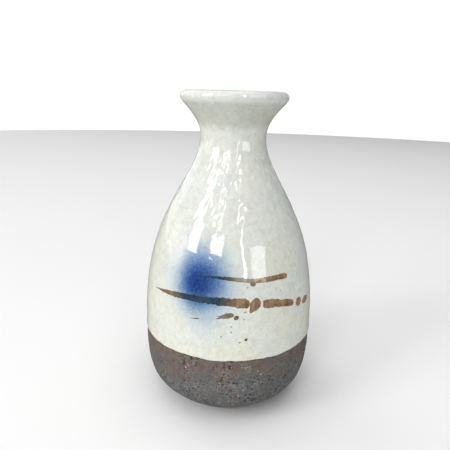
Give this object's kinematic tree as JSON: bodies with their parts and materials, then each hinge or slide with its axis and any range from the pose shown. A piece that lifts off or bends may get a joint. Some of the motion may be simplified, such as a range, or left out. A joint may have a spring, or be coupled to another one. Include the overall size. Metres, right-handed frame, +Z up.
{
  "type": "sake bottle",
  "caption": "Stoneware bottle with a rounded belly, narrow neck and flared lip, white glaze over bare clay and loose brown brush marks round its front.",
  "frame": {"origin": "centre of the foot, on the surface the bottle stands on", "axes": "+Z up along the bottle's axis; the brushed front faces -Y"},
  "size_m": [0.0762, 0.0762, 0.1361],
  "materials": {
    "bare_stoneware": "matte, speckled",
    "white_glaze": "glossy, slightly mottled, with a soft blue bloom on the front",
    "lining_glaze": "glossy",
    "iron_pigment": "glossy brown"
  },
  "bodies": {
    "root": {"stoneware_body": "bare_stoneware", "outer_glaze": "white_glaze", "inner_glaze": "lining_glaze", "upper_brush_stroke": "iron_pigment", "lower_brush_stroke": "iron_pigment", "lower_brush_stroke_end": "iron_pigment", "round_brush_blot": "iron_pigment", "brush_tail_dots": "iron_pigment", "short_brush_dabs": "iron_pigment", "iron_drops": "iron_pigment"}
  },
  "joints": []
}
